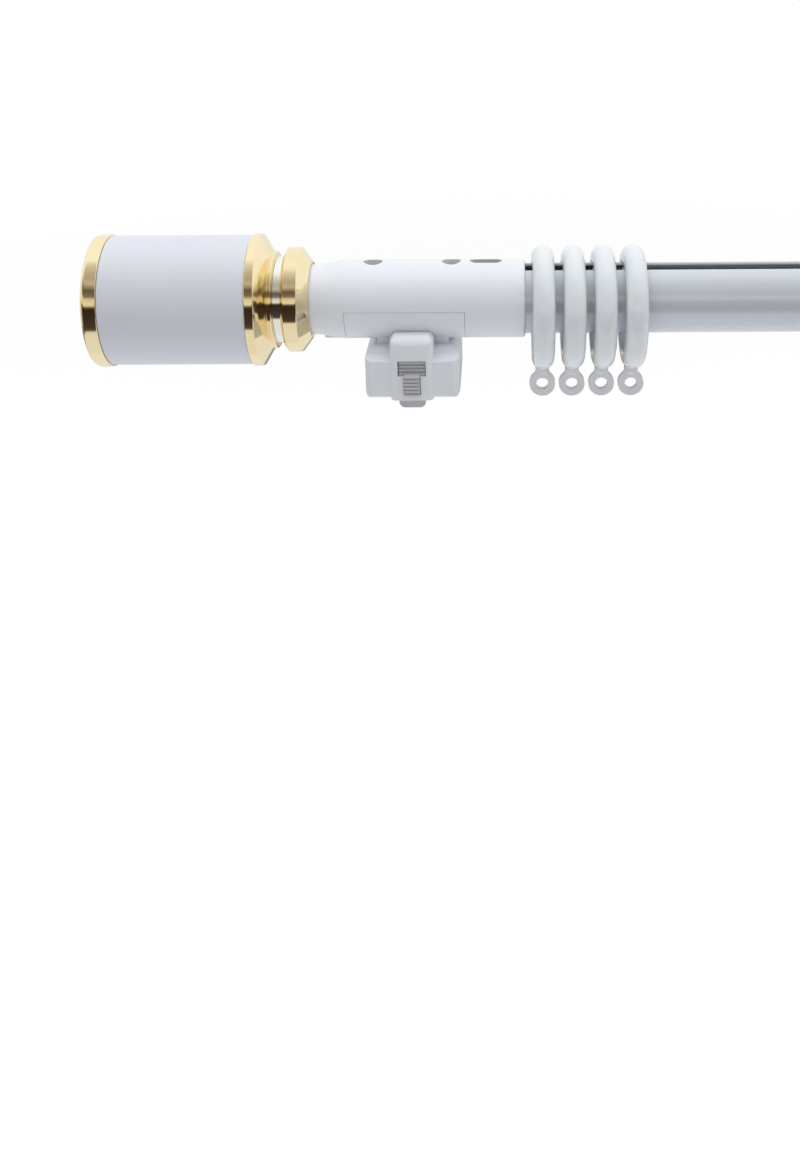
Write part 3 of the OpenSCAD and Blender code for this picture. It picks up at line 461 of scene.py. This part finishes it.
white_out = tree.nodes.new("ShaderNodeEmission")
tree.links.new(scale.outputs[0], white_out.inputs["Strength"])
total = diffuse.outputs[0]
for light in (table, white_out):
    add = tree.nodes.new("ShaderNodeAddShader")
    tree.links.new(total, add.inputs[0])
    tree.links.new(light.outputs[0], add.inputs[1])
    total = add.outputs[0]
out = tree.nodes.new("ShaderNodeOutputMaterial")
tree.links.new(total, out.inputs["Surface"])
floor_mesh = bpy.data.meshes.new("floor")
floor_mesh.from_pydata(
    [(x * FLOOR_HALF, y * FLOOR_HALF, 0) for x, y in ((-1, -1), (1, -1), (1, 1), (-1, 1))], [], [(0, 1, 2, 3)]
)
floor_mesh.materials.append(floor_paint)
floor = bpy.data.objects.new("floor", floor_mesh)
floor.location = FLOOR_AT
scene.collection.objects.link(floor)

# Card round the track: tone by the angle above the level, in front of the track and behind it
CARD_FRONT = [
    (-90, (0.84, 0.85, 0.88)), (-36, (0.80, 0.81, 0.82)), (-32, (0.09, 0.07, 0.06)), (-27, (0.055, 0.040, 0.034)),
    (3, (0.030, 0.017, 0.014)), (6, (0.16, 0.11, 0.07)), (9, (0.86, 0.82, 0.72)), (18, (0.76, 0.71, 0.62)),
    (23, (0.22, 0.18, 0.15)), (33, (0.13, 0.10, 0.08)), (39, (0.36, 0.32, 0.28)), (44, (0.56, 0.53, 0.48)),
    (52, (0.46, 0.43, 0.39)), (60, (0.52, 0.49, 0.45)), (74, (0.72, 0.70, 0.67)), (86, (1.0, 1.0, 1.0)),
]
CARD_BACK = [
    (-90, (0.90, 0.92, 0.97)), (-36, (0.84, 0.85, 0.88)), (-32, (0.34, 0.29, 0.24)), (-24, (0.30, 0.25, 0.20)),
    (-20, (0.76, 0.75, 0.74)), (9, (1.0, 1.0, 1.02)), (86, (1.05, 1.08, 1.12)),
]
CARD_REACH = 0.72
CARD_DROP = 0.44
CARD_STEPS, CARD_STEP = 24, 7.5
BACK_GAIN = 1.6


def tone(stops, angle):
    for (low, first), (high, second) in zip(stops, stops[1:]):
        if angle <= high:
            share = (angle - low) / (high - low)
            return Vector(first).lerp(Vector(second), share)
    return Vector(stops[-1][1])


angles = sorted({angle for angle, _ in CARD_FRONT + CARD_BACK})
path = []
for end_x, start in ((cad_box[1][0], -90), (cad_box[0][0], 90)):
    for step in range(CARD_STEPS + 1):
        path.append((end_x, math.radians(start + step * CARD_STEP)))
corners, tones = [], []
for angle in angles:
    up = math.radians(angle)
    radius = min(CARD_REACH, CARD_DROP / max(math.sin(-up), 0.01))
    for end_x, turn in path:
        flat = radius * math.cos(up)
        place = (end_x + flat * math.cos(turn), flat * math.sin(turn), AXIS_Z + radius * math.sin(up))
        corners.append(place)
        behind = min(max(1 + BACK_GAIN * math.sin(turn), 0), 1)
        tones.append((*tone(CARD_FRONT, angle).lerp(tone(CARD_BACK, angle), behind), 1))
count = len(path)
faces = [
    (row * count + i, row * count + (i + 1) % count, (row + 1) * count + (i + 1) % count, (row + 1) * count + i)
    for row in range(len(angles) - 1) for i in range(count)
]
card_mesh = bpy.data.meshes.new("reflector_card")
card_mesh.from_pydata(corners, [], faces)
card_tone = card_mesh.color_attributes.new("tone", "FLOAT_COLOR", "POINT")
card_tone.data.foreach_set("color", [v for colour in tones for v in colour])
card_paint, tree = stage_material("card_paint")
shade = tree.nodes.new("ShaderNodeVertexColor")
shade.layer_name = "tone"
glow = tree.nodes.new("ShaderNodeEmission")
tree.links.new(shade.outputs["Color"], glow.inputs["Color"])
out = tree.nodes.new("ShaderNodeOutputMaterial")
tree.links.new(glow.outputs[0], out.inputs["Surface"])
card_mesh.materials.append(card_paint)
card = bpy.data.objects.new("reflector_card", card_mesh)
scene.collection.objects.link(card)
card.visible_camera = False
card.visible_diffuse = False
card.visible_transmission = False
card.visible_shadow = False

# World: white where it shows, and a soft even sky where it lights
world = bpy.data.worlds.new("sky")
scene.world = world
world.use_nodes = True
tree = world.node_tree
tree.nodes.clear()
shown = tree.nodes.new("ShaderNodeBackground")
shown.inputs["Color"].default_value = (1, 1, 1, 1)
soft = tree.nodes.new("ShaderNodeBackground")
soft.inputs["Color"].default_value = (*SKY_TINT, 1)
soft.inputs["Strength"].default_value = SKY_LEVEL
pick = tree.nodes.new("ShaderNodeMixShader")
tree.links.new(backdrop_rays(tree), pick.inputs["Fac"])
tree.links.new(soft.outputs[0], pick.inputs[1])
tree.links.new(shown.outputs[0], pick.inputs[2])
out = tree.nodes.new("ShaderNodeOutputWorld")
tree.links.new(pick.outputs[0], out.inputs["Surface"])


def softbox(name, place, aim, size, watts):
    light = bpy.data.lights.new(name, "AREA")
    light.shape = "RECTANGLE"
    light.size, light.size_y = size
    light.energy = watts
    made = bpy.data.objects.new(name, light)
    made.location = place
    made.rotation_euler = (Vector(aim) - Vector(place)).to_track_quat("-Z", "Y").to_euler()
    made.visible_camera = False
    made.visible_glossy = False
    scene.collection.objects.link(made)


softbox("overhead", (0.25, 0.0, 1.25), (0.25, 0.0, 0), (3.2, 1.4), 26.0)
softbox("front", (0.10, -1.50, 0.60), (0.10, 0.0, 0), (2.2, 1.0), 4.0)

# Camera at the viewing angle of the photograph's upper view
FRAME_H = 1159
FOCAL_PX = 1297.3
ELEVATION = math.radians(18)
DISTANCE = 0.640
CAMERA_X = 0.0421
ROLL = math.radians(-0.35)
SHIFT_X, SHIFT_Y = -0.0851, -0.2429
SENSOR = 36
camera = bpy.data.objects.new("camera", bpy.data.cameras.new("camera"))
camera.data.sensor_width = SENSOR
camera.data.lens = SENSOR * FOCAL_PX / FRAME_H
camera.data.shift_x = SHIFT_X
camera.data.shift_y = SHIFT_Y
camera.data.clip_start = 0.01
target = Vector((CAMERA_X, 0, AXIS_Z))
spot = target + DISTANCE * Vector((0, -math.cos(ELEVATION), math.sin(ELEVATION)))
turn = Matrix.Rotation(math.pi / 2 - ELEVATION, 4, "X") @ Matrix.Rotation(ROLL, 4, "Z")
camera.matrix_world = Matrix.Translation(spot) @ turn
scene.collection.objects.link(camera)
scene.camera = camera
